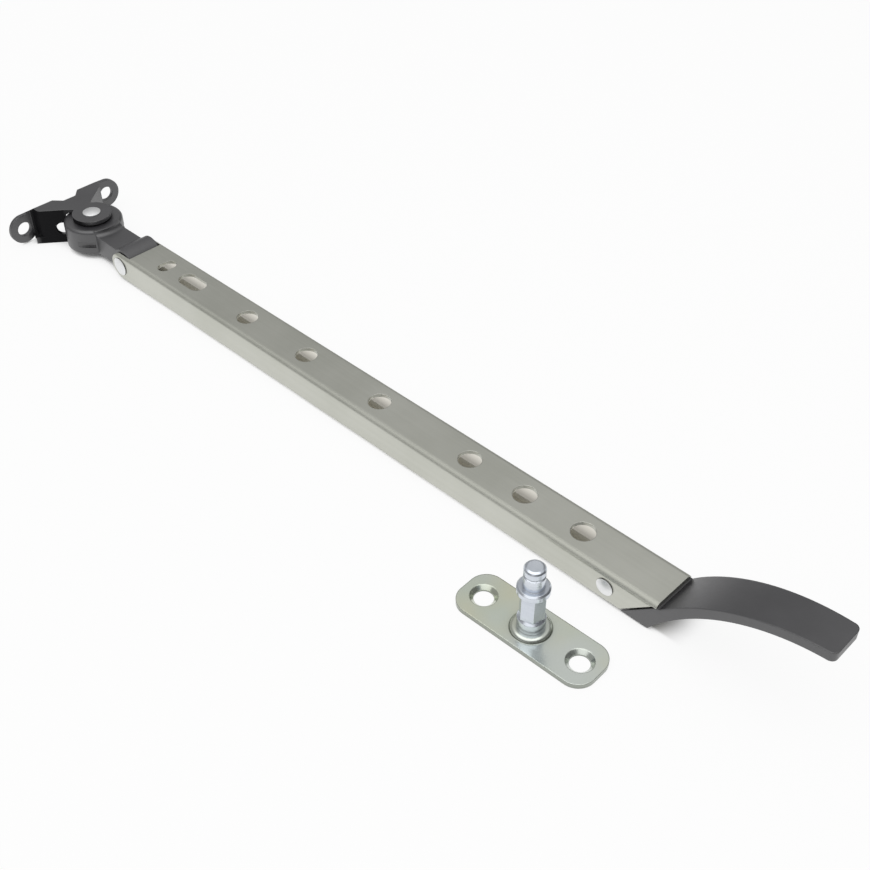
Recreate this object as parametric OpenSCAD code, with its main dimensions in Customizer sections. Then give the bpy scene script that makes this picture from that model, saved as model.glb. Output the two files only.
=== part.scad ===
/* [Arm] */
// Width of the arm channel over both flanges
arm_w = 15.8; // [13:0.1:20]
// Height of the arm channel
arm_h = 9.7; // [8.5:0.1:13]
// Sheet thickness of the arm channel
arm_t = 1.2; // [0.8:0.1:1.6]
// Outside radius of the long bends
arm_bend = 1.7; // [1.6:0.1:3]
// Tilt rivet to the handle end of the web
arm_len = 237.3; // [225:0.5:300]
// Slope of the flanges' cut ends at the handle
end_a = 41.9; // [40:0.1:44]
// Diameter of the peg holes
hole_d = 7.3; // [6:0.1:8.5]
// Tilt rivet to the first peg hole
hole_first = 63; // [58:0.1:75]
// First to second peg hole
pitch_1 = 29.8; // [20:0.1:32]
// Second to third peg hole
pitch_2 = 34; // [20:0.1:36]
// Third to fourth peg hole
pitch_3 = 37.9; // [20:0.1:40]
// Fourth to fifth peg hole
pitch_4 = 21.2; // [15:0.1:22]
// Fifth to sixth peg hole
pitch_5 = 21.1; // [15:0.1:22]
// Tilt rivet to the cross slot
cross_at = 18.4; // [16:0.1:22]
// Length of the cross slot
cross_l = 7.2; // [6:0.1:8]
// Width of the cross slot
cross_w = 4.9; // [4:0.1:6]
// Tilt rivet to the long slot
long_at = 33.1; // [31:0.1:40]
// Length of the long slot
long_l = 12; // [9:0.1:14]
// Width of the long slot
long_w = 6.5; // [5:0.1:7]

/* [Handle] */
// Handle length beyond the web
handle_len = 46.3; // [36:0.1:55]
// How far each side of the handle stands inside the arm's side
handle_in = 0.3; // [0.1:0.05:0.6]
// Radius of the handle's upper curve
handle_r = 63.4; // [62:0.1:70]
// Top of the web down to the handle's upper curve
handle_sink = 1.9; // [1.6:0.1:2.2]
// Slope of the handle where it leaves the web
handle_slope = 47.2; // [46:0.1:49]
// Radius of the handle's lower curve
handle_under_r = 56.5; // [55:0.1:58]
// Thickness of the handle at its tip
handle_tip_t = 2.9; // [2.5:0.1:4]
// Width of the handle at its tip
handle_tip_w = 11.8; // [9:0.1:14]
// Corner radius of the handle's tip
handle_tip_r = 1.8; // [1:0.1:3]
// Handle rivet to the end of the web
handle_rivet_back = 16.2; // [14:0.1:20]
// Gap between the flanges' cut ends and the handle's shoulders
shoulder_gap = 0.75; // [0.5:0.05:1]
// Head diameter of the handle rivet
handle_head_d = 5.4; // [5:0.1:7]

/* [Knuckle] */
// Radius of the turning boss
boss_r = 10.8; // [9.5:0.1:11]
// Underside of the knuckle above the arm's lower edge
knuckle_under = 1.2; // [1:0.1:2]
// Pivot rivet to tilt rivet
knuckle_len = 27.5; // [25:0.1:32]
// Width of the neck
neck_w = 11; // [8:0.1:11.6]
// Top of the neck above the arm's lower edge
neck_top = 8.6; // [7:0.1:9]
// Radius of the cross barrel
barrel_r = 6; // [5.4:0.1:6.6]
// Height of the bearing pad on the boss
pad_h = 0.4; // [0.2:0.1:0.8]
// Depth of the side pockets in the boss
pocket_d = 0.8; // [0.5:0.1:1.5]
// Head diameter of the tilt rivet
tilt_head_d = 6.7; // [5.5:0.1:7.5]

/* [Bracket] */
// Distance between the two screw holes
ear_spacing = 36.6; // [35:0.1:44]
// Screw hole diameter
ear_hole_d = 5.4; // [4.5:0.1:5.8]
// Radius of the screw ears
ear_r = 5.6; // [5.2:0.1:6.2]
// How far the ears reach below the arm
ear_drop = 0.6; // [0.4:0.1:0.8]
// How far the side walls reach below the arm
wall_drop = 1.2; // [0.9:0.1:1.5]
// How far the foot of a side wall reaches out past its step
foot_out = 2.2; // [1:0.1:2.4]
// Screw hole to the step beside it
ear_step = 4.5; // [4.2:0.1:4.8]
// Sheet thickness of the bracket
bracket_t = 1.4; // [1.2:0.1:1.6]
// Mounting face to the pivot rivet
pivot_x = 20.9; // [20.4:0.1:25]
// Top of the bracket above the arm's lower edge
bracket_h = 12.5; // [12.2:0.1:14]
// Radius of the pivot eye
eye_r = 7.2; // [6.4:0.1:8]
// Angle of the side walls to the mounting face
wall_a = 39; // [37:0.1:41]
// Mounting face to the front corner of a side wall
wall_fore = 6.1; // [5.6:0.1:7]
// Inside radius of the bracket's bends
bracket_bend = 1; // [0.6:0.1:1.1]
// Mounting face to the back edge of the top
top_back = 2.9; // [2.6:0.1:3.4]
// Mounting face to the floor of the notch in the top
notch_x = 6.1; // [5:0.1:7]
// Width of the notch in the top at its mouth
notch_w = 11; // [8:0.1:13]
// Diameter of the round relief in each side wall
relief_d = 5; // [4:0.1:5.4]
// Head diameter of the pivot rivet
pivot_head_d = 6.5; // [6:0.1:8]
// Shank diameter of the pivot rivet
pivot_d = 5; // [4:0.1:5.4]

/* [Peg and plate] */
// Length of the peg plate
plate_l = 45.2; // [42:0.1:60]
// Width of the peg plate
plate_w = 15.5; // [15:0.1:20]
// Thickness of the peg plate
plate_t = 1.5; // [1.4:0.1:2.5]
// Corner radius of the peg plate
plate_r = 5.5; // [4:0.1:7]
// Distance between the plate's screw holes
plate_spacing = 32.6; // [30:0.1:34]
// Screw hole diameter in the plate
plate_hole_d = 5.6; // [4.5:0.1:5.8]
// Countersink diameter in the plate
plate_sink_d = 7.9; // [7:0.1:8.1]
// Tilt rivet to the peg, along the arm
plate_along = 213.8; // [180:0.1:230]
// Open space between the arm and the plate
plate_apart = 13.55; // [8:0.05:25]
// How far the plate lies turned from the arm
plate_turn = 1.4; // [-5:0.1:5]
// Diameter of the raised ring under the peg
ring_d = 11.6; // [11:0.1:13]
// Height of the raised ring
ring_h = 1.3; // [0.8:0.1:1.6]
// Radial play of the peg in a peg hole
peg_play = 0.7; // [0.3:0.05:0.9]
// Diameter of the peg's foot collar
foot_d = 7.8; // [7.4:0.1:8.6]
// Across the flats of the peg's hexagon
hex_af = 6.4; // [5.5:0.1:6.7]
// Turn of the hexagon on the plate
hex_turn = 15; // [0:1:60]
// Diameter of the flange that carries the arm
flange_d = 9; // [8.6:0.1:10.5]
// Height of the flange's upper face above the plate's underside
flange_z = 17.9; // [17:0.1:20]
// Height of the peg's top above the plate's underside
peg_top = 24.9; // [24.4:0.1:30]

/* [Fits] */
// Radial running clearance of the two rivets in the knuckle
run_fit = 0.05; // [0.02:0.01:0.1]
// Gap between pieces that move past each other
joint_gap = 0.3; // [0.25:0.05:0.4]
// Gap between pieces that are fixed side by side
lay_gap = 0.05; // [0.02:0.01:0.1]

/* [Hidden] */
$fn = 72;
eps = 0.01;

ear_y = ear_spacing / 2;
ear_z = ear_r - ear_drop;
ear_top = ear_z + ear_r;
tilt_x = pivot_x + knuckle_len;
tilt_z = arm_h / 2;
tilt_d = 4;
web_from = tilt_x + sqrt(pow(barrel_r + joint_gap + 0.05, 2) - pow(tilt_z - arm_t, 2));
web_to = tilt_x + arm_len;
in_w = arm_w - 2 * arm_t;
in_h = arm_h - arm_t;
hole_x1 = tilt_x + hole_first;
hole_x2 = hole_x1 + pitch_1;
hole_x3 = hole_x2 + pitch_2;
hole_x4 = hole_x3 + pitch_3;
hole_x5 = hole_x4 + pitch_4;
hole_x6 = hole_x5 + pitch_5;

curve_x = web_to + handle_r * sin(handle_slope);
curve_z = arm_h - handle_sink - handle_r * cos(handle_slope);
tip_x = web_to + handle_len;
tip_z = curve_z + sqrt(pow(handle_r, 2) - pow(curve_x - tip_x, 2));
under_x = tip_x - 0.6;
under_z = tip_z - handle_tip_t - handle_under_r;
handle_w = arm_w - 2 * handle_in;
rivet_x = web_to - handle_rivet_back;
rivet_z = 4.6;
rivet_d = 3.6;

eye_z = bracket_h - bracket_t;
boss_top = eye_z - joint_gap - pad_h;
boss_round = 1.3;
pad_r = eye_r - 1;
jog_y = ear_y - ear_step;
bend_out = bracket_bend + bracket_t;
bend_x = wall_fore - bend_out * (1 - sin(wall_a)) / cos(wall_a);
bend_y = jog_y - bend_out;
wall_l = jog_y / cos(wall_a);
relief_y = 7.7;
relief_x = wall_fore + (jog_y - relief_y) * tan(wall_a);
relief_z = 4.7;
tail_d = 8;
tail_h = 1.3;

plate_x = tilt_x + plate_along;
plate_y = -(arm_w / 2 + plate_apart + plate_w / 2);
pin_d = hole_d - 2 * peg_play;
foot_z = plate_t + ring_h;
foot_h = 4;
flange_h = 2.3;
shank_d = 4.6;
clinch_d = 7.4;
clinch_h = 0.7;

function arc(cx, cy, r, a0, a1, n = 8) =
    [for (i = [0:n]) [cx + r * cos(a0 + (a1 - a0) * i / n), cy + r * sin(a0 + (a1 - a0) * i / n)]];

// Lays a piece that is measured up from the arm's lower edge into the frame of the screw holes
module up_from_arm() {
    translate([0, 0, -ear_z]) children();
}

// Round bar across the arm, centred on the middle plane
module across(x, z, d, l) {
    translate([x, 0, z]) rotate([90, 0, 0]) cylinder(d = d, h = l, center = true);
}

// Low domed rivet head standing on z = 0
module rivet_head(d, h) {
    rim = 0.3 * h;
    dome = (pow(d / 2, 2) + pow(h - rim, 2)) / (2 * (h - rim));
    a = asin(d / 2 / dome);
    rotate_extrude()
        polygon(concat([[0, 0], [d / 2, 0]], arc(0, h - dome, dome, 90 - a, 90)));
}

// Rivet across the arm with a head on each flange
module cross_rivet(x, z, d, head_d, head_h) {
    across(x, z, d, arm_w + 2 * eps);
    for (s = [-1, 1])
        translate([x, s * arm_w / 2, z]) rotate([-90 * s, 0, 0]) rivet_head(head_d, head_h);
}

// Prism across the arm from an outline in the side view
module side_cut(w, outline) {
    translate([0, w / 2, 0]) rotate([90, 0, 0]) linear_extrude(w) polygon(outline);
}

// Folded section of the arm as a solid bar
module section_bar(w, h, r, x0, x1) {
    translate([x0, -w / 2, -1]) cube([x1 - x0, w, h - r + 1]);
    translate([x0, -w / 2 + r, -1]) cube([x1 - x0, w - 2 * r, h + 1]);
    for (s = [-1, 1])
        translate([x0, s * (w / 2 - r), h - r]) rotate([0, 90, 0]) cylinder(r = r, h = x1 - x0);
}

// Upright stadium cutter in the web
module slot(x, lx, ly) {
    w = min(lx, ly);
    translate([x, 0, arm_h - 2 * arm_t]) {
        for (s = [-1, 1])
            translate([s * (lx - w) / 2, s * (ly - w) / 2, 0]) cylinder(d = w, h = 3 * arm_t);
        translate([-(lx - w) / 2 - (lx > ly ? 0 : w / 2), -(ly - w) / 2 - (lx > ly ? w / 2 : 0), 0])
            cube([lx > ly ? lx - w : w, lx > ly ? w : ly - w, 3 * arm_t]);
    }
}

module arm_channel() {
    end_x = tilt_x - tilt_z;
    color([0.62, 0.62, 0.58]) up_from_arm() difference() {
        section_bar(arm_w, arm_h, arm_bend, end_x, web_to + 5);
        section_bar(in_w, in_h, arm_bend - arm_t, end_x - 1, web_to + 6);
        translate([end_x - 1, -arm_w, -2]) cube([arm_len + 60, 2 * arm_w, 2]);
        translate([end_x - 1, -in_w / 2, 0]) cube([web_from - end_x + 1, in_w, arm_h + 1]);
        difference() {
            translate([end_x - 1, -arm_w, -1]) cube([tilt_z + 1, 2 * arm_w, arm_h + 2]);
            across(tilt_x, tilt_z, arm_h, 3 * arm_w);
        }
        side_cut(3 * arm_w, [[web_to - (arm_h + 1) / tan(end_a), -1], [web_to - arm_t / tan(end_a), in_h],
            [web_to + 12, in_h], [web_to + 12, -1]]);
        translate([web_to, -arm_w, -1]) cube([10, 2 * arm_w, arm_h + 2]);
        for (x = [hole_x1, hole_x2, hole_x3, hole_x4, hole_x5, hole_x6])
            translate([x, 0, arm_h - 2 * arm_t]) cylinder(d = hole_d, h = 3 * arm_t);
        slot(tilt_x + cross_at, cross_w, cross_l);
        slot(tilt_x + long_at, long_l, long_w);
        across(tilt_x, tilt_z, tilt_d, 2 * arm_w);
        across(rivet_x, rivet_z, rivet_d, 2 * arm_w);
    }
}

module handle() {
    tongue_w = in_w - 2 * lay_gap;
    tongue_top = in_h - lay_gap;
    tongue_r = arm_bend - arm_t + 0.2;
    back = shoulder_gap / sin(end_a);
    low_x = web_to + back - (arm_h + ear_drop) / tan(end_a);
    high_x = web_to + back - (arm_h - tongue_top) / tan(end_a);
    color([0.1, 0.1, 0.105]) up_from_arm() difference() {
        union() {
            intersection() {
                across(curve_x, curve_z, 2 * handle_r, handle_w);
                hull() {
                    translate([web_to - 9, -handle_w / 2, -ear_drop]) cube([12, handle_w, 60]);
                    for (s = [-1, 1])
                        translate([tip_x - handle_tip_r, s * (handle_tip_w / 2 - handle_tip_r), -ear_drop])
                            cylinder(r = handle_tip_r, h = 60);
                }
            }
            side_cut(handle_w, [[low_x, -ear_drop], [high_x, tongue_top], [web_to + 0.5, tongue_top],
                [web_to + 3, tongue_top / 2], [web_to + 3, -ear_drop]]);
            difference() {
                section_bar(tongue_w, tongue_top, tongue_r, rivet_x - 6, web_to - 1);
                translate([rivet_x - 7, -arm_w, -2]) cube([handle_rivet_back + 8, 2 * arm_w, 3.2]);
            }
            across(rivet_x - 6, tongue_top / 2 + 0.6, tongue_top - 1.2, tongue_w - 2 * tongue_r);
        }
        across(under_x, under_z, 2 * handle_under_r, 3 * arm_w);
        across(rivet_x, rivet_z, rivet_d, 2 * arm_w);
    }
}

module handle_rivet() {
    color([0.9, 0.9, 0.92]) up_from_arm() cross_rivet(rivet_x, rivet_z, rivet_d, handle_head_d, 0.9);
}

module tilt_rivet() {
    color([0.9, 0.9, 0.92]) up_from_arm() cross_rivet(tilt_x, tilt_z, tilt_d, tilt_head_d, 1);
}

// Cutter for a flat pocket in the side of the boss that runs out at its back end
module boss_pocket(s, a0, a1, z0, z1) {
    deep = boss_r - pocket_d;
    far = boss_r + 3;
    translate([pivot_x, 0, z0]) linear_extrude(z1 - z0)
        polygon([[boss_r * cos(a0), s * boss_r * sin(a0)], [deep * cos(a1), s * deep * sin(a1)],
            [far * cos(a1), s * far * sin(a1)], [far * cos(a0), s * far * sin(a0)]]);
}

module knuckle() {
    cove_r = 2;
    barrel_l = in_w - 2 * joint_gap;
    color([0.11, 0.11, 0.12]) up_from_arm() difference() {
        union() {
            translate([pivot_x, 0, 0]) rotate_extrude()
                polygon(concat([[0, knuckle_under], [boss_r, knuckle_under]],
                    arc(boss_r - boss_round, boss_top - boss_round, boss_round, 0, 90),
                    [[pad_r, boss_top], [pad_r, boss_top + pad_h], [0, boss_top + pad_h]]));
            translate([pivot_x, -neck_w / 2, knuckle_under])
                cube([knuckle_len, neck_w, neck_top - knuckle_under]);
            intersection() {
                translate([pivot_x, 0, 0]) rotate_extrude()
                    polygon(concat([[boss_r - 1, neck_top - 1], [boss_r + cove_r, neck_top - 1]],
                        arc(boss_r + cove_r, neck_top + cove_r, cove_r, 270, 180),
                        [[boss_r - 1, neck_top + cove_r]]));
                translate([pivot_x, -neck_w / 2, 0]) cube([2 * boss_r, neck_w, 2 * neck_top]);
            }
            difference() {
                across(tilt_x, tilt_z, 2 * barrel_r, barrel_l);
                translate([tilt_x - 20, -20, -9.5]) cube([40, 40, 10]);
            }
        }
        translate([pivot_x, 0, -1]) cylinder(d = pivot_d + 2 * run_fit, h = 3 * boss_r);
        across(tilt_x, tilt_z, tilt_d + 2 * run_fit, 2 * arm_w);
        boss_pocket(-1, 70, 33, 3.7, 6.1);
        boss_pocket(1, 70, 33, 3.7, 6.1);
    }
}

// Plan of one bracket side: ear, step and slanting wall
module side_plan() {
    c1 = bracket_t + bracket_bend;
    foot = [wall_fore + wall_l * sin(wall_a), jog_y - wall_l * cos(wall_a)];
    polygon(concat(
        [[bracket_t, ear_y + ear_r + 1]],
        arc(c1, jog_y + bracket_bend, bracket_bend, 180, 270),
        arc(bend_x, bend_y, bend_out, 90, wall_a),
        [foot, [foot[0] - bracket_t * cos(wall_a), foot[1] - bracket_t * sin(wall_a)]],
        arc(bend_x, bend_y, bracket_bend, wall_a, 90),
        arc(c1, jog_y + bracket_bend, bend_out, 270, 180),
        [[0, ear_y + ear_r + 1]]));
}

// Side view that rounds the ear and steps its lower edge
module ear_view() {
    translate([-1, 0, 0]) rotate([90, 0, 90]) linear_extrude(40) union() {
        translate([-1, -wall_drop]) square([jog_y + 1 + bracket_bend / 2, bracket_h + wall_drop]);
        translate([ear_y, ear_z]) circle(r = ear_r);
        translate([jog_y, 0.6]) square([ear_step, ear_top - 0.6]);
        translate([jog_y, ear_z]) square([0.6 * ear_step, bracket_h - ear_z]);
    }
}

// Low foot that carries a side wall out past its step
module wall_foot() {
    in_x = bracket_t * cos(wall_a);
    in_y = bracket_t * sin(wall_a);
    a = [wall_fore - foot_out * tan(wall_a), jog_y + foot_out];
    b = [wall_fore + 2 * tan(wall_a), jog_y - 2];
    translate([0, 0, -wall_drop]) linear_extrude(wall_drop + ear_z - ear_hole_d / 2 - 1)
        polygon([a, b, [b[0] - in_x, b[1] - in_y], [a[0] - in_x, a[1] - in_y]]);
}

module bracket_side() {
    wall_foot();
    difference() {
        intersection() {
            translate([0, 0, -wall_drop]) linear_extrude(bracket_h + wall_drop) side_plan();
            ear_view();
        }
        rotate([90, 0, 0]) linear_extrude(4 * ear_y, center = true)
            polygon([[-top_back, 2 * ear_top - bracket_h], [top_back, bracket_h],
                [top_back, bracket_h + 1], [-top_back, bracket_h + 1]]);
    }
}

module bracket() {
    apex = wall_fore + jog_y * tan(wall_a);
    clear = joint_gap + 0.1;
    right = concat([[top_back, jog_y]], arc(bend_x, bend_y, bend_out, 90, wall_a), [[apex, 0]]);
    left = [for (i = [len(right) - 2:-1:0]) [right[i][0], -right[i][1]]];
    notch = [[top_back, -notch_w / 2], [notch_x, -2.6], [notch_x, 2.6], [top_back, notch_w / 2]];
    color([0.09, 0.095, 0.1]) up_from_arm() difference() {
        union() {
            difference() {
                union() {
                    bracket_side();
                    mirror([0, 1, 0]) bracket_side();
                }
                translate([pivot_x, 0, 0]) rotate_extrude()
                    polygon(concat([[0, -2], [boss_r + clear, -2]],
                        arc(boss_r - boss_round, boss_top - boss_round, boss_round + clear, 0, 80),
                        [[boss_r - boss_round, eye_z], [0, eye_z]]));
                translate([apex - 6, -4, -2]) cube([20, 8, eye_z + 2]);
            }
            translate([0, 0, eye_z]) linear_extrude(bracket_t) polygon(concat(right, left, notch));
            translate([pivot_x, 0, eye_z]) cylinder(r = eye_r, h = bracket_t);
        }
        translate([pivot_x, 0, 0]) cylinder(d = pivot_d, h = 2 * bracket_h);
        for (s = [-1, 1]) {
            translate([-1, s * ear_y, ear_z]) rotate([0, 90, 0]) cylinder(d = ear_hole_d, h = bracket_t + 2);
            translate([relief_x, s * relief_y, relief_z]) rotate([0, 90, s * wall_a])
                cylinder(d = relief_d, h = 6, center = true);
        }
    }
}

module pivot_rivet() {
    tail_top = knuckle_under - joint_gap;
    color([0.9, 0.9, 0.92]) up_from_arm() translate([pivot_x, 0, 0]) {
        translate([0, 0, tail_top - eps]) cylinder(d = pivot_d, h = bracket_h - tail_top + 2 * eps);
        translate([0, 0, bracket_h]) rivet_head(pivot_head_d, 0.9);
        translate([0, 0, tail_top]) mirror([0, 0, 1]) rivet_head(tail_d, tail_h);
    }
}

// Flat plate with round corners, standing on z = 0
module rounded_plate(l, w, r, h) {
    translate([-l / 2, -w / 2 + r, 0]) cube([l, w - 2 * r, h]);
    translate([-l / 2 + r, -w / 2, 0]) cube([l - 2 * r, w, h]);
    for (i = [-1, 1])
        for (j = [-1, 1])
            translate([i * (l / 2 - r), j * (w / 2 - r), 0]) cylinder(r = r, h = h);
}

// Place where the loose plate lies beside the arm
module on_plate() {
    translate([plate_x, plate_y, -wall_drop]) rotate([0, 0, plate_turn]) children();
}

module peg_plate() {
    sink_h = (plate_sink_d - plate_hole_d) / 2;
    color([0.72, 0.75, 0.66]) up_from_arm() on_plate() difference() {
        union() {
            rounded_plate(plate_l, plate_w, plate_r, plate_t);
            translate([0, 0, plate_t - eps]) rotate_extrude()
                polygon(concat([[0, 0], [ring_d / 2, 0]],
                    arc(ring_d / 2 - ring_h, 0, ring_h, 20, 90, 5), [[0, ring_h]]));
        }
        translate([0, 0, -1]) cylinder(d = shank_d, h = 10);
        translate([0, 0, -1]) cylinder(d = clinch_d + 2 * lay_gap, h = 1 + clinch_h);
        for (s = [-1, 1])
            translate([s * plate_spacing / 2, 0, 0]) {
                translate([0, 0, -1]) cylinder(d = plate_hole_d, h = 10);
                translate([0, 0, plate_t - sink_h])
                    cylinder(d1 = plate_hole_d, d2 = plate_sink_d + 0.2, h = sink_h + 0.1);
            }
    }
}

module peg() {
    hex_z = foot_z + foot_h;
    under = flange_z - flange_h;
    neck_z = peg_top - 2.9;
    color([0.8, 0.82, 0.86]) up_from_arm() on_plate() {
        rotate_extrude()
            polygon([[0, clinch_h], [shank_d / 2, clinch_h], [shank_d / 2, foot_z], [foot_d / 2, foot_z],
                [foot_d / 2, hex_z - 0.7], [foot_d / 2 - 0.7, hex_z], [0, hex_z]]);
        translate([0, 0, 0.1]) cylinder(d = clinch_d, h = clinch_h - 0.1);
        translate([0, 0, hex_z - eps]) rotate([0, 0, hex_turn])
            cylinder(d = hex_af / cos(30), h = under - hex_z + 2 * eps, $fn = 6);
        translate([0, 0, under]) rotate_extrude()
            polygon([[0, 0], [flange_d / 2 - 0.4, 0], [flange_d / 2, 0.4], [flange_d / 2, flange_h - 0.5],
                [flange_d / 2 - 0.5, flange_h], [pin_d / 2, flange_h], [pin_d / 2, neck_z - under - 0.3],
                [pin_d / 2 - 0.45, neck_z - under], [pin_d / 2 - 0.45, neck_z - under + 0.3],
                [pin_d / 2, neck_z - under + 0.6], [pin_d / 2, peg_top - under - 0.7],
                [pin_d / 2 - 0.35, peg_top - under - 0.25], [pin_d / 2 - 0.95, peg_top - under],
                [0, peg_top - under]]);
    }
}

arm_channel();
handle();
handle_rivet();
tilt_rivet();
knuckle();
bracket();
pivot_rivet();
peg_plate();
peg();
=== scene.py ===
import bpy
import math
from mathutils import Matrix, Vector


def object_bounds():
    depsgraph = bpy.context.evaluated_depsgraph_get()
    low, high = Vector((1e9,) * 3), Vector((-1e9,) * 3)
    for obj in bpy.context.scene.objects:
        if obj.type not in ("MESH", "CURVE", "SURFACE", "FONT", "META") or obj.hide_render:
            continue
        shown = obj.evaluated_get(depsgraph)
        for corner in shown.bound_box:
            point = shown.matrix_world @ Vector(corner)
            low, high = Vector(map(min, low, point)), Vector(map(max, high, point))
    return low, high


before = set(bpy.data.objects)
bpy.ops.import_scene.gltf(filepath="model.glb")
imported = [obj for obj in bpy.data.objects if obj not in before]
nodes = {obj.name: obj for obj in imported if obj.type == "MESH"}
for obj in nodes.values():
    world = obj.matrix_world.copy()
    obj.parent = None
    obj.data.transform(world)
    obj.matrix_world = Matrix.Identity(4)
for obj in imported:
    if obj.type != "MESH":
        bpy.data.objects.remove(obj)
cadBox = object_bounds()
print("frame loaded,", len(nodes), "nodes")

alongArm, acrossArm, upright = (1, 0, 0), (0, 1, 0), (0, 0, 1)


def plug(tree, slot, item):
    # links a wire, or sets a plain value on the socket
    if isinstance(item, Wire):
        tree.links.new(item.socket, slot)
    elif isinstance(item, (tuple, list)) and slot.type == "RGBA":
        slot.default_value = (*item[:3], 1.0)
    else:
        slot.default_value = item


class Wire:
    # a socket that can be used in sums
    def __init__(self, tree, socket):
        self.tree, self.socket = tree, socket

    def join(self, operation, *terms):
        node = self.tree.nodes.new("ShaderNodeMath")
        node.operation = operation
        for slot, term in zip(node.inputs, terms):
            plug(self.tree, slot, term)
        return Wire(self.tree, node.outputs[0])

    def __add__(self, other):
        return self.join("ADD", self, other)

    def __radd__(self, other):
        return self.join("ADD", other, self)

    def __sub__(self, other):
        return self.join("SUBTRACT", self, other)

    def __rsub__(self, other):
        return self.join("SUBTRACT", other, self)

    def __mul__(self, other):
        return self.join("MULTIPLY", self, other)

    def __rmul__(self, other):
        return self.join("MULTIPLY", other, self)

    def __lt__(self, other):
        return self.join("LESS_THAN", self, other)

    def __abs__(self):
        return self.join("ABSOLUTE", self)

    def most(self, other):
        return self.join("MAXIMUM", self, other)


def mingle(first, second, share):
    # two values, by the first one's share
    return first * share + second * (1 - share)


def sway(noise, amount):
    # noise that swings to either side of zero
    return (noise - 0.5) * amount


class Finish:
    # one material, or the world, with its node tree
    def __init__(self, name, owner=None):
        self.owner = owner or bpy.data.materials.new(name)
        self.owner.use_nodes = True
        self.tree = self.owner.node_tree
        self.tree.nodes.clear()

    def add(self, kind, settings=None, sockets=None, out=0):
        node = self.tree.nodes.new(kind)
        for key, value in (settings or {}).items():
            if key == "stops":
                ramp = node.color_ramp
                while len(ramp.elements) < len(value):
                    ramp.elements.new(0.5)
                for element, (place, shade) in zip(ramp.elements, value):
                    element.position = place
                    element.color = (shade, shade, shade, 1)
            else:
                setattr(node, key, value)
        for key, value in (sockets or {}).items():
            plug(self.tree, node.inputs[key], value)
        return Wire(self.tree, node.outputs[out]) if node.outputs else None

    def tint(self, factor, first, second):
        # colour mix; sockets 0, 6 and 7 are the factor and the two colours
        return self.add("ShaderNodeMix", {"data_type": "RGBA"}, {0: factor, 6: first, 7: second}, 2)

    def stain(self, mask, colour, shade, amount):
        return self.tint(mask * amount, colour, shade)

    def blend(self, factor, first, second):
        return self.add("ShaderNodeMixShader", None, {0: factor, 1: first, 2: second})

    def dot(self, vector, axis):
        return self.add("ShaderNodeVectorMath", {"operation": "DOT_PRODUCT"}, {0: vector, 1: axis}, "Value")

    def place(self, stretch=(1, 1, 1)):
        spot = self.add("ShaderNodeTexCoord", out="Object")
        return self.add("ShaderNodeVectorMath", {"operation": "MULTIPLY"}, {0: spot, 1: stretch})

    def along(self, axis):
        # place along one axis of the piece, in metres
        return self.dot(self.place(), axis)

    def facing(self, axis):
        # how far the surface faces along one axis of the piece, either way
        return abs(self.dot(self.add("ShaderNodeTexCoord", out="Normal"), axis))

    def noise(self, vector, scale=1.0, detail=3.0, rough=0.5):
        return self.add("ShaderNodeTexNoise", None,
                        {"Vector": vector, "Scale": scale, "Detail": detail, "Roughness": rough})

    def ramp(self, factor, *stops):
        return self.add("ShaderNodeValToRGB", {"stops": stops}, {"Fac": factor})

    def rise(self, factor, start, end):
        return self.ramp(factor, (start, 0.0), (end, 1.0))

    def fall(self, factor, start, end):
        return self.ramp(factor, (start, 1.0), (end, 0.0))

    def band(self, factor, start, full, past, end):
        # 1 between full and past, 0 outside start and end
        return self.ramp(factor, (start, 0.0), (full, 1.0), (past, 1.0), (end, 0.0))

    def climb(self, axis, start, end):
        # 0 before the start and 1 after the end of a stretch along one axis, in metres
        return self.add("ShaderNodeClamp", None, {"Value": (self.along(axis) - start) * (1 / (end - start))})

    def ease(self, value, start, end, first=0.0, last=1.0):
        # smooth change from first to last
        sockets = {"Value": value, "From Min": start, "From Max": end, "To Min": first, "To Max": last}
        return self.add("ShaderNodeMapRange", {"interpolation_type": "SMOOTHSTEP"}, sockets)

    def occlusion(self, reach, samples=12):
        # dark in corners, 1 on open faces
        return self.add("ShaderNodeAmbientOcclusion", {"samples": samples}, {"Distance": reach}, "AO")

    def edges(self, radius, samples=6, sharp=0.12):
        # a rounded normal, and a mask that is 1 on sharp edges and 0 on flats
        soft = self.add("ShaderNodeBevel", {"samples": samples}, {"Radius": radius})
        level = self.dot(soft, self.add("ShaderNodeNewGeometry", out="Normal"))
        return soft, self.rise(1 - level, 0.0, sharp)

    def bump(self, height, strength, depth, normal=None):
        sockets = {"Strength": strength, "Distance": depth, "Height": height}
        if normal:
            sockets["Normal"] = normal
        return self.add("ShaderNodeBump", None, sockets)

    def principled(self, colour, rough, normal, **others):
        return self.add("ShaderNodeBsdfPrincipled", None,
                        {"Base Color": colour, "Roughness": rough, "Normal": normal, **others})

    def diffuse(self, colour):
        return self.add("ShaderNodeBsdfDiffuse", None, {"Color": colour})

    def close(self, shader, kind="ShaderNodeOutputMaterial"):
        self.add(kind, None, {"Surface": shader})
        return self.owner


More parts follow.
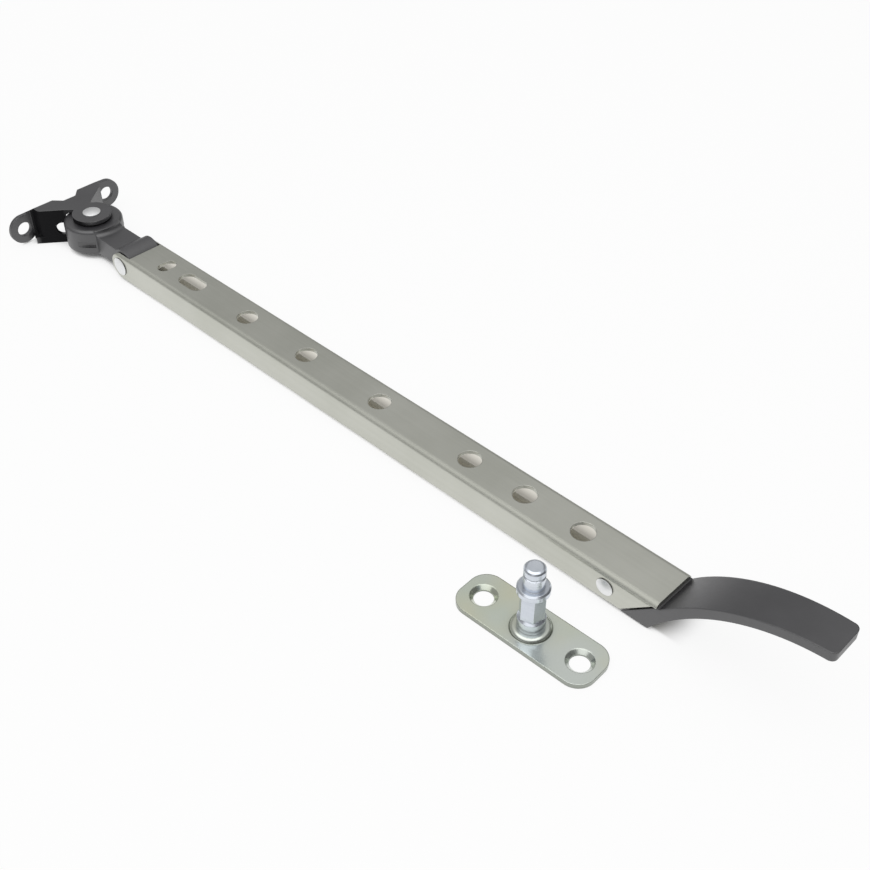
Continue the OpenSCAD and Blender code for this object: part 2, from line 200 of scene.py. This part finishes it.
# in each look, a shade that lies over the first colour comes with its amount
# a range gives where a mask starts and where it is full, or the other way round for one that falls
channelLook = dict(
    name="channel satin plate",
    pale=(0.595, 0.60, 0.545), deep=(0.535, 0.542, 0.485), paleRange=(0.36, 0.64), cloudShare=0.7,
    cloud=48.0, fleck=2400.0, streak=(14, 1100, 1100), streakShare=0.6,
    rub=(150, 50, 150), rubRange=(0.62, 0.74), rubbed=((0.70, 0.70, 0.66), 0.10),
    edge=0.0003, bare=((0.72, 0.72, 0.69), 0.3),
    cornerShadeReach=0.006, paintedCornerShade=((0.34, 0.335, 0.30), 0.12),
    seamReach=0.0012, seamRange=(0.35, 0.85), seam=((0.12, 0.12, 0.11), 0.6),
    bendRange=(0.06, 0.22, 0.80, 0.96), shadedBend=((0.34, 0.345, 0.31), 0.35),
    innerY=0.0068, innerZ=0.0036, innerRange=(-0.0040, -0.0004),
    insideLight=(0.84, 0.815, 0.745), insideShade=(0.40, 0.385, 0.345),
    rough=0.33, roughStreak=0.05, roughCloud=0.10, roughRub=0.05, roughInner=0.04, roughBend=0.22,
    bump=0.06, depth=0.00003)


def satinChannel(look):
    # plated strip: faint rolling lines along the arm, cloudy plating, blurred bends with painted shade,
    # painted shade in corners and round the rivet heads, pale cream painted light inside that falls to
    # painted shade lower down
    f = Finish(look["name"])
    streak = f.noise(f.place(look["streak"]))
    cloud = f.noise(f.place(), look["cloud"])
    fleck = f.noise(f.place(), look["fleck"], detail=2.0, rough=0.55)
    rub = f.rise(f.noise(f.place(look["rub"]), detail=5.0, rough=0.7), *look["rubRange"])
    soft, sharpEdges = f.edges(look["edge"])
    corner = f.occlusion(look["cornerShadeReach"])
    seam = f.fall(f.occlusion(look["seamReach"]), *look["seamRange"])  # round the rivet heads
    shadedBend = f.band(f.facing(acrossArm), *look["bendRange"])
    inside = (abs(f.along(acrossArm)) < look["innerY"]) * (f.along(upright) < look["innerZ"])
    upper = f.climb(upright, *look["innerRange"])  # light that falls in from above
    mottle = f.rise(mingle(cloud, streak, look["cloudShare"]), *look["paleRange"])
    colour = f.tint(mottle, look["deep"], look["pale"])
    colour = f.stain(rub, colour, *look["rubbed"])
    colour = f.stain(sharpEdges, colour, *look["bare"])
    # painted shade in corners
    colour = f.stain(1 - corner, colour, *look["paintedCornerShade"])
    # painted shade in the seam round the rivet heads
    colour = f.stain(seam, colour, *look["seam"])
    # painted shade on the bends along the arm
    colour = f.stain(shadedBend, colour, *look["shadedBend"])
    # painted light on the inside faces, falling to painted shade lower down
    colour = f.tint(inside, colour, f.tint(upper, look["insideShade"], look["insideLight"]))
    rough = look["rough"] + sway(streak, look["roughStreak"]) + sway(cloud, look["roughCloud"])
    rough = rough + rub * look["roughRub"] + inside * look["roughInner"] + shadedBend * look["roughBend"]
    skin = f.bump(mingle(streak, fleck, look["streakShare"]), look["bump"], look["depth"], soft)
    return f.close(f.principled(colour, rough, skin, Metallic=1.0))


enamel = dict(
    pale=(0.032, 0.0315, 0.035), deep=(0.023, 0.0225, 0.0255), paleRange=(0.35, 0.65), cloud=70.0,
    edge=0.0005, thin=((0.08, 0.079, 0.083), 0.30),
    speck=2600.0, dustRange=(0.68, 0.76), dust=((0.12, 0.12, 0.12), 0.10),
    shadeReach=0.004, shadeRange=(0.15, 0.50), shadeMost=0.6, shadeColour=(0.010, 0.010, 0.011), wallDark=0.0,
    rough=0.37, roughCloud=0.14, roughPeel=0.10, index=2.0, bump=0.18, depth=0.00005)
handleLook = dict(enamel, name="handle black enamel", peel=850.0)
knuckleLook = dict(enamel, name="knuckle black enamel", peel=700.0)
bracketLook = dict(
    enamel, name="bracket black enamel", peel=1000.0, shadeReach=0.006, shadeMost=0.7, wallDark=0.95,
    wallNear=(-0.00325, -0.00675), wallFar=(-0.0165, -0.0145),
    wallTurn=(0.08, 0.32), wallFoot=(-0.0030, -0.0038))


def blackEnamel(look):
    # stoved black over metal: fine orange peel, thin and pale on the edges, painted shade as a dark matt
    # coat in deep corners
    f = Finish(look["name"])
    cloud = f.noise(f.place(), look["cloud"], detail=4.0, rough=0.6)
    peel = f.noise(f.place(), look["peel"])
    dust = f.rise(f.noise(f.place(), look["speck"], detail=2.0, rough=0.6), *look["dustRange"])
    soft, sharpEdges = f.edges(look["edge"])
    # painted shade: a dark matt coat mixed in where corners are deep
    paintedShade = f.fall(f.occlusion(look["shadeReach"]), *look["shadeRange"]) * look["shadeMost"]
    if look["wallDark"]:
        # painted shade: the side wall towards -Y, with its step and its low foot, goes dark matt
        span = f.climb(acrossArm, *look["wallNear"]) * f.climb(acrossArm, *look["wallFar"])
        turned = f.rise(f.facing(acrossArm), *look["wallTurn"])
        foot = f.climb(upright, *look["wallFoot"])
        paintedShade = paintedShade.most(turned.most(foot) * span * look["wallDark"])
    colour = f.tint(f.rise(cloud, *look["paleRange"]), look["deep"], look["pale"])
    colour = f.stain(sharpEdges * (1 + cloud), colour, *look["thin"])
    colour = f.stain(dust, colour, *look["dust"])
    rough = look["rough"] + sway(cloud, look["roughCloud"]) + sway(peel, look["roughPeel"])
    skin = f.bump(peel, look["bump"], look["depth"], soft)
    coat = f.principled(colour, rough, skin, IOR=look["index"])
    return f.close(f.blend(paintedShade, coat, f.diffuse(look["shadeColour"])))


zinc = dict(
    paleRange=(0.34, 0.66), cloud=150.0, cloudShare=0.7, corner=(0.16, 0.17, 0.19),
    bare=((0.93, 0.935, 0.94), 0.3), roughCloud=0.12, roughRings=0.08, depth=0.00004)
rivetHead = dict(
    zinc, pale=(0.90, 0.905, 0.905), deep=(0.83, 0.838, 0.845), cornerReach=0.0025, cornerDark=0.12,
    rough=0.42, edge=0.0, bump=0.02, rimRange=(0.35, 0.65), rim=((0.10, 0.10, 0.095), 0.85))
handleRivetLook = dict(rivetHead, name="handle rivet zinc", rings=(300, 300, 300), rimAxis=acrossArm)
tiltRivetLook = dict(rivetHead, name="tilt rivet zinc", rings=(320, 320, 320), rimAxis=acrossArm)
pivotRivetLook = dict(rivetHead, name="pivot rivet zinc", rings=(280, 280, 280), rimAxis=None)
pegLook = dict(
    zinc, name="peg turned zinc", pale=(0.72, 0.76, 0.815), deep=(0.58, 0.62, 0.685), cornerReach=0.006,
    cornerDark=0.85, rough=0.22, edge=0.0002, bump=0.08, rings=(40, 40, 2600), rimAxis=None)


def brightZinc(look):
    # bright zinc on turned or headed steel, with fine tool rings where it was turned
    f = Finish(look["name"])
    cloud = f.noise(f.place(), look["cloud"])
    rings = f.noise(f.place(look["rings"]))
    corner = f.occlusion(look["cornerReach"])
    mottle = f.rise(mingle(cloud, rings, look["cloudShare"]), *look["paleRange"])
    colour = f.tint(mottle, look["deep"], look["pale"])
    # painted shade in corners, much stronger on the peg
    colour = f.stain(1 - corner, colour, look["corner"], look["cornerDark"])
    if look["rimAxis"]:
        # painted shade: dark foot of a head, where it turns away from the rivet's own axis
        colour = f.stain(f.fall(f.facing(look["rimAxis"]), *look["rimRange"]), colour, *look["rim"])
    soft = None
    if look["edge"]:
        soft, sharpEdges = f.edges(look["edge"])
        colour = f.stain(sharpEdges, colour, *look["bare"])
    rough = look["rough"] + sway(cloud, look["roughCloud"]) + sway(rings, look["roughRings"])
    skin = f.bump(rings, look["bump"], look["depth"], soft)
    return f.close(f.principled(colour, rough, skin, Metallic=1.0))


plateLook = dict(
    name="peg plate passivate",
    green=(0.62, 0.67, 0.575), straw=(0.665, 0.68, 0.54), drift=(60, 80, 80), strawRange=(0.38, 0.62),
    cloud=45.0, coolRange=(0.45, 0.68), cool=((0.67, 0.71, 0.675), 0.9),
    rim=(0.33, 0.35, 0.31), rimRange=(0.30, 0.85), rimSide=0.75, edge=0.0004, rimEdge=0.35,
    cornerShadeReach=0.0035, paintedCornerShade=((0.12, 0.13, 0.11), 0.75),
    grain=(500, 2600, 2600), rough=0.20, roughCloud=0.10, roughGrain=0.05, bump=0.05, depth=0.00003)


def passivatedPlate(look):
    # zinc with a pale green passivate that drifts in tint over the plate, with painted shade on the side
    # faces, countersinks, edges and corners
    f = Finish(look["name"])
    drift = f.noise(f.place(look["drift"]), detail=2.0)
    cloud = f.noise(f.place(), look["cloud"], detail=2.0)
    grain = f.noise(f.place(look["grain"]), detail=2.0)
    soft, sharpEdges = f.edges(look["edge"])
    corner = f.occlusion(look["cornerShadeReach"])
    side = f.fall(f.facing(upright), *look["rimRange"])
    colour = f.tint(f.rise(drift, *look["strawRange"]), look["green"], look["straw"])
    colour = f.stain(f.rise(cloud, *look["coolRange"]), colour, *look["cool"])
    # painted shade on the faces that turn sideways and on the sharp edges
    colour = f.stain(side, colour, look["rim"], look["rimSide"])
    colour = f.stain(sharpEdges, colour, look["rim"], look["rimEdge"])
    # painted shade in corners
    colour = f.stain(1 - corner, colour, *look["paintedCornerShade"])
    rough = look["rough"] + sway(cloud, look["roughCloud"]) + sway(grain, look["roughGrain"])
    skin = f.bump(grain, look["bump"], look["depth"], soft)
    return f.close(f.principled(colour, rough, skin, Metallic=1.0))


finishes = {
    "arm_channel": satinChannel(channelLook),
    "handle": blackEnamel(handleLook),
    "knuckle": blackEnamel(knuckleLook),
    "bracket": blackEnamel(bracketLook),
    "handle_rivet": brightZinc(handleRivetLook),
    "tilt_rivet": brightZinc(tiltRivetLook),
    "pivot_rivet": brightZinc(pivotRivetLook),
    "peg_plate": passivatedPlate(plateLook),
    "peg": brightZinc(pegLook),
}
for name, material in finishes.items():
    mesh = nodes[name].data
    mesh.materials.clear()
    mesh.materials.append(material)
print("finishes on", len(finishes), "pieces")

# pale bench: white to the eye and in reflections, dim under the hollow arm, with a faint shadow
# underX and underY give the middle of the dim strip, its half width and the half width where it is full
bench = dict(size=6.0, drop=0.00002, shade=(0.92, 0.92, 0.92), shadow=(0.50, 0.485, 0.425), lift=0.90,
             reach=0.02, dim=0.20, clear=0.46, near=0.5, far=1.3,
             underX=(0.165, 0.13, 0.115), underY=(0.0015, 0.0080, 0.0068))
low = cadBox[0][2] - bench["drop"]
half = bench["size"] / 2
benchMesh = bpy.data.meshes.new("bench_top")
benchMesh.from_pydata([(-half, -half, low), (half, -half, low), (half, half, low), (-half, half, low)],
                      [], [(0, 1, 2, 3)])
benchTop = bpy.data.objects.new("bench_top", benchMesh)
bpy.context.scene.collection.objects.link(benchTop)
b = Finish("bench white")
eyeRay = b.add("ShaderNodeLightPath", out="Is Camera Ray")
mirrorRay = b.add("ShaderNodeLightPath", out="Is Glossy Ray")
throughRay = b.add("ShaderNodeLightPath", out="Is Transmission Ray")
openSky = b.rise(b.occlusion(bench["reach"]), bench["dim"], bench["clear"])
away = b.add("ShaderNodeVectorMath", {"operation": "LENGTH"}, {0: b.place()}, "Value")
nearby = b.ease(away, bench["near"], bench["far"], 1.0, 0.0)
under = 1.0
for axis, (centre, edge, full) in ((alongArm, bench["underX"]), (acrossArm, bench["underY"])):
    under = under * b.ease(abs(b.along(axis) - centre), full, edge, 1.0, 0.0)
top = b.blend(under, b.diffuse(bench["shade"]), b.diffuse(bench["shadow"]))
glow = b.add("ShaderNodeEmission", None, {"Color": (1, 1, 1), "Strength": 1.0})
seen = (mirrorRay + throughRay + eyeRay * openSky * (1 - under)) * nearby * bench["lift"]
benchMesh.materials.append(b.close(b.blend(seen, top, glow)))
print("bench at", round(low, 5))

# soft room: bright overhead, greyer from half height down to the horizon
room = dict(left=0.42, right=0.20, high=0.75, start=0.55, end=0.80, spread=0.7)
world = bpy.data.worlds.new("studio room")
bpy.context.scene.world = world
w = Finish("studio room", world)
way = w.add("ShaderNodeTexCoord", out="Generated")
leftWall, rightWall, ceiling = (
    w.add("ShaderNodeBackground", None, {"Color": (1, 1, 1), "Strength": room[side]})
    for side in ("left", "right", "high"))
walls = w.blend(w.ease(w.dot(way, alongArm), -room["spread"], room["spread"]), leftWall, rightWall)
sky = w.blend(w.ease(w.dot(way, upright), room["start"], room["end"]), walls, ceiling)
w.close(sky, "ShaderNodeOutputWorld")

# one broad lamp overhead, a little to the front
keyLamp = dict(way=(0.15, -0.35, 0.92), far=1.2, size=2.0, power=8.9)
middle = (Vector(cadBox[0]) + Vector(cadBox[1])) / 2
aim = Vector(keyLamp["way"]).normalized()
light = bpy.data.lights.new("key lamp", "AREA")
light.shape = "DISK"
light.size = keyLamp["size"]
light.energy = keyLamp["power"]
lamp = bpy.data.objects.new("key_lamp", light)
lamp.location = middle + aim * keyLamp["far"]
lamp.rotation_euler = aim.to_track_quat("Z", "Y").to_euler()
bpy.context.scene.collection.objects.link(lamp)
print("room and lamp lit")

# camera worked out from the arm's edges and holes; turn, down and roll in degrees
shot = dict(place=(0.389475, -0.195858, 0.244615), turn=134.212, down=41.194, roll=-0.153,
            lens=50.595, sensor=36.0, nearest=0.01)
turn, down, roll = (math.radians(shot[angle]) for angle in ("turn", "down", "roll"))
ahead = Vector((math.cos(turn) * math.cos(down), math.sin(turn) * math.cos(down), -math.sin(down)))
level = Vector((math.sin(turn), -math.cos(turn), 0))
above = level.cross(ahead)
right = level * math.cos(roll) + above * math.sin(roll)
up = above * math.cos(roll) - level * math.sin(roll)
lens = bpy.data.cameras.new("photo camera")
lens.sensor_fit = "HORIZONTAL"
lens.sensor_width = shot["sensor"]
lens.lens = shot["lens"]
lens.clip_start = shot["nearest"]
eye = bpy.data.objects.new("photo_camera", lens)
eye.matrix_world = Matrix((right, up, -ahead)).transposed().to_4x4()
eye.location = shot["place"]
bpy.context.scene.collection.objects.link(eye)
bpy.context.scene.camera = eye
bpy.context.scene.view_settings.view_transform = "Standard"
print("camera set")
